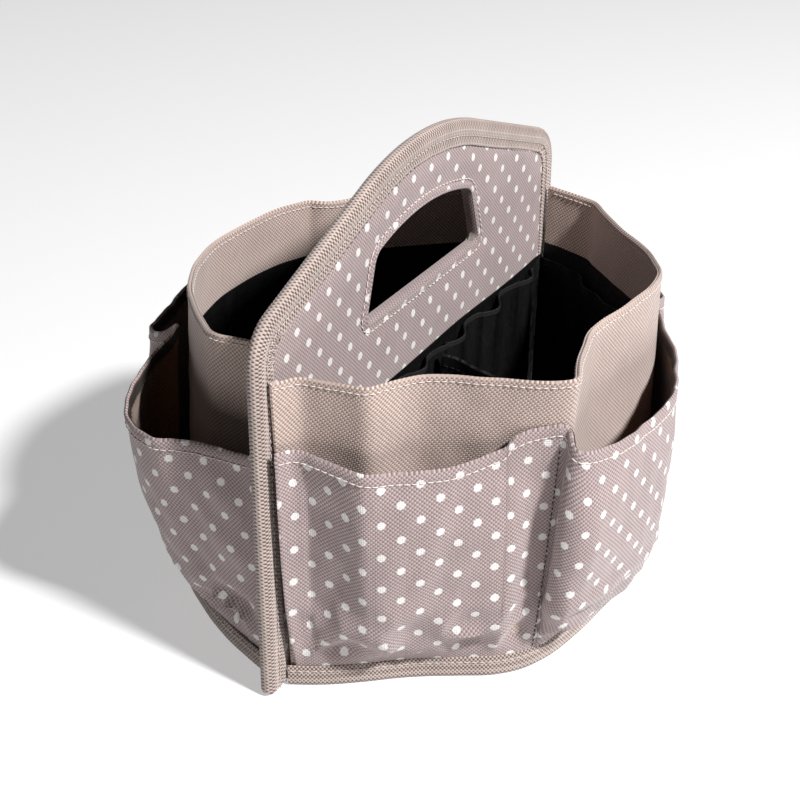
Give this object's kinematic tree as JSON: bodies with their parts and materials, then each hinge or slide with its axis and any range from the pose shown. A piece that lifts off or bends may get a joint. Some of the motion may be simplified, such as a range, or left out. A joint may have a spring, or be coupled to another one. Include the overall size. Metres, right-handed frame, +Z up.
{
  "type": "cleaning caddy",
  "caption": "Folding fabric cleaning caddy: a stiff centre divider with a hand hole, round open compartments on both sides and bulging dotted pockets around the outside.",
  "frame": {"origin": "on the floor, below the middle of the divider", "axes": "+Z up, X along the divider, +Y towards the rear compartment"},
  "size_m": [0.2558, 0.229, 0.193],
  "materials": {
    "dotted_fabric": "taupe oxford weave printed with small white dots",
    "plain_fabric": "plain taupe oxford weave",
    "webbing": "coarse herringbone webbing",
    "black_lining": "thin black nylon with a slight shine",
    "edge_tape": "narrow black woven tape",
    "stiffener": "matt sheet",
    "base_board": "black textured sheet"
  },
  "bodies": {
    "caddy": {"divider_edge_binding": "webbing", "divider_front_cover": "dotted_fabric", "divider_rear_cover": "dotted_fabric", "divider_stiffener": "stiffener", "front_base_binding": "webbing", "front_bottom_cover": "plain_fabric", "front_bottom_lining": "black_lining", "front_divider_elastic": "edge_tape", "front_divider_lining": "black_lining", "front_divider_pockets": "black_lining", "front_inner_pockets": "black_lining", "front_outer_pockets": "dotted_fabric", "front_partition": "black_lining", "front_pocket_hem_tape": "edge_tape", "front_wall": "plain_fabric", "front_wall_lining": "black_lining", "front_wall_top_facing": "plain_fabric", "hand_hole_facing": "dotted_fabric", "rear_base_binding": "webbing", "rear_bottom_cover": "plain_fabric", "rear_bottom_lining": "black_lining", "rear_divider_elastic": "edge_tape", "rear_divider_lining": "black_lining", "rear_divider_pockets": "black_lining", "rear_inner_pockets": "black_lining", "rear_outer_pockets": "dotted_fabric", "rear_pocket_hem_tape": "edge_tape", "rear_wall": "plain_fabric", "rear_wall_lining": "black_lining", "rear_wall_top_facing": "plain_fabric"},
    "front_left_board": {"front_left_base_board": "base_board"},
    "front_right_board": {"front_right_base_board": "base_board"},
    "rear_board": {"rear_base_board": "base_board"}
  },
  "joints": [
    {"name": "front_left_board_fold", "type": "hinge", "parent": "caddy", "child": "front_left_board", "pos_m": [0, -0.0052, 0.0028], "axis": [-1, 0, 0], "range_deg": [0, 80]},
    {"name": "front_right_board_fold", "type": "hinge", "parent": "caddy", "child": "front_right_board", "pos_m": [0, -0.0052, 0.0028], "axis": [-1, 0, 0], "range_deg": [0, 80]},
    {"name": "rear_board_fold", "type": "hinge", "parent": "caddy", "child": "rear_board", "pos_m": [0, 0.0052, 0.0028], "axis": [1, 0, 0], "range_deg": [0, 80]}
  ],
  "couplings": [
    {"joint": "front_right_board_fold", "follows": "front_left_board_fold", "ratio": 1}
  ]
}
